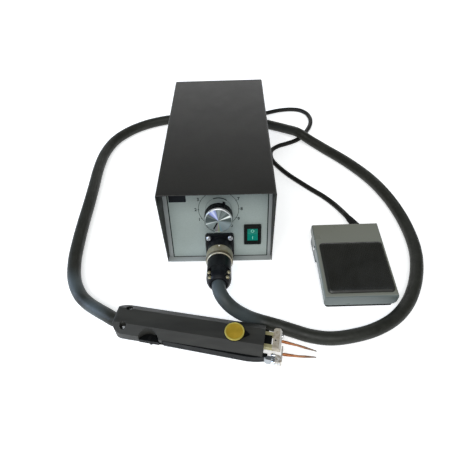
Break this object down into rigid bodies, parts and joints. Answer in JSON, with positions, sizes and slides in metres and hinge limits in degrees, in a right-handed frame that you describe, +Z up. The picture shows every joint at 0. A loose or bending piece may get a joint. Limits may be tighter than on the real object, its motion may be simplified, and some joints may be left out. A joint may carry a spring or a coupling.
{
  "type": "resistance welding tongs",
  "caption": "Hand-held resistance welding tongs with a control unit, a heavy cable and a foot pedal that starts the weld.",
  "frame": {"origin": "on the bench, at the middle of the rectangle that the control unit, the tongs and the pedal cover together", "axes": "+Z up, +Y towards the back of the control unit, +X to the right as its front is seen"},
  "size_m": [0.4739, 0.5277, 0.12],
  "materials": {
    "black_cover": "fine textured black powder coat",
    "grey_sheet": "smooth grey enamel",
    "panel_grey": "satin grey-green panel",
    "badge_dark": "blank dark foil plate",
    "rubber_black": "moulded black rubber",
    "screw_dark": "blackened steel",
    "screw_bright": "bright plated steel",
    "core_steel": "stacked laminations",
    "coil_wrap": "varnished winding under tape",
    "zinc": "zinc plated sheet",
    "board_green": "green lacquered board",
    "brass": "turned brass",
    "board_parts": "moulded and cast parts",
    "knob_black": "moulded black plastic",
    "knob_aluminium": "spun aluminium",
    "plastic_black": "moulded black plastic",
    "lens_green": "clear green lens",
    "socket_black": "black coated casting",
    "insert_brown": "moulded insulator",
    "ring_nickel": "worn nickel, knurled",
    "cable_black": "black rubber sheath",
    "cord_black": "black sheath",
    "grip_black": "machined black laminate",
    "lever_black": "machined black laminate",
    "spring_steel": "spring wire",
    "pale_brass": "tinned brass bar",
    "nickel": "nickel plated, brushed",
    "copper": "copper alloy rod",
    "cap_yellow": "ochre yellow cap",
    "pedal_grey": "grey enamel",
    "pedal_base_grey": "grey enamel",
    "mat_black": "ribbed black rubber",
    "plunger_red": "moulded button"
  },
  "bodies": {
    "root": {"cover": "black_cover", "chassis": "grey_sheet", "front_frame": "grey_sheet", "front_panel": "panel_grey", "rear_panel": "grey_sheet", "unit_feet": "rubber_black", "cover_screws": "screw_dark", "badge_plate": "badge_dark", "transformer_core": "core_steel", "transformer_coil": "coil_wrap", "transformer_bracket": "zinc", "control_board": "board_green", "board_standoffs": "brass", "board_parts": "board_parts", "potentiometer": "zinc", "switch_housing": "plastic_black", "socket_flange": "socket_black", "socket_insert": "insert_brown", "socket_screws": "screw_bright", "plug_shell": "socket_black", "cable_clamp": "socket_black", "clamp_screws": "screw_bright", "mains_inlet": "plastic_black", "inlet_pins": "brass", "unit_gland": "plastic_black", "tong_cable": "cable_black", "pedal_cord": "cord_black", "grip_upper": "grip_black", "grip_lower": "grip_black", "grip_screws": "screw_bright", "lever_pin": "screw_dark", "return_spring": "spring_steel", "electrode_posts": "pale_brass", "fixed_clamp": "nickel", "clamp_bolts": "screw_bright", "fixed_electrode": "copper", "pedal_base": "pedal_base_grey", "treadle_pin": "screw_bright", "treadle_spring": "spring_steel", "foot_switch": "plastic_black", "pedal_feet": "rubber_black", "pedal_gland": "rubber_black"},
    "dial": {"knob_shaft": "zinc", "knob_body": "knob_black", "knob_cap": "knob_aluminium"},
    "rocker": {"switch_rocker": "plastic_black", "rocker_lens": "lens_green"},
    "coupling": {"coupling_ring": "ring_nickel"},
    "lever_arm": {"lever": "lever_black", "moving_bracket": "zinc", "moving_clamp": "nickel", "moving_clamp_screws": "screw_bright", "moving_electrode": "copper"},
    "force_dial": {"force_knob": "knob_black", "force_knob_cap": "cap_yellow", "force_spindle": "zinc"},
    "treadle_plate": {"treadle": "pedal_grey", "treadle_mat": "mat_black"},
    "plunger": {"switch_plunger": "plunger_red"}
  },
  "joints": [
    {"name": "dial_turn", "type": "hinge", "parent": "root", "child": "dial", "pos_m": [-0.0416, -0.04665, 0.07484], "axis": [0, -0.9744, 0.225], "range_deg": [-300, 0]},
    {"name": "power_rocker", "type": "hinge", "parent": "root", "child": "rocker", "pos_m": [-0.0004, -0.05465, 0.0384], "axis": [1, 0, 0], "range_deg": [0, 14]},
    {"name": "coupling_turn", "type": "hinge", "parent": "root", "child": "coupling", "pos_m": [-0.0422, -0.08773, 0.03024], "axis": [0, -0.9744, 0.225], "range_deg": [0, 60]},
    {"name": "lever_close", "type": "hinge", "parent": "root", "child": "lever_arm", "pos_m": [-0.11845, -0.18351, 0.01285], "axis": [0, 0, 1], "range_deg": [0, 1.5], "stiffness_Nm_per_rad": 8, "springref_deg": -2.86, "deforming": ["return_spring"]},
    {"name": "force_turn", "type": "hinge", "parent": "root", "child": "force_dial", "pos_m": [-0.02534, -0.18624, 0.027], "axis": [0, 0, 1], "range_deg": [-135, 135]},
    {"name": "treadle_press", "type": "hinge", "parent": "root", "child": "treadle_plate", "pos_m": [0.07808, -0.06751, 0.023], "axis": [0.9999, 0.014, 0], "range_deg": [0, 2], "stiffness_Nm_per_rad": 4, "springref_deg": -8.59, "deforming": ["treadle_spring"]},
    {"name": "plunger_press", "type": "slide", "parent": "root", "child": "plunger", "axis": [0, 0, -1], "range_m": [0, 0.0012]}
  ],
  "couplings": [
    {"joint": "plunger_press", "follows": "treadle_press", "m_per_rad": 0.031}
  ]
}
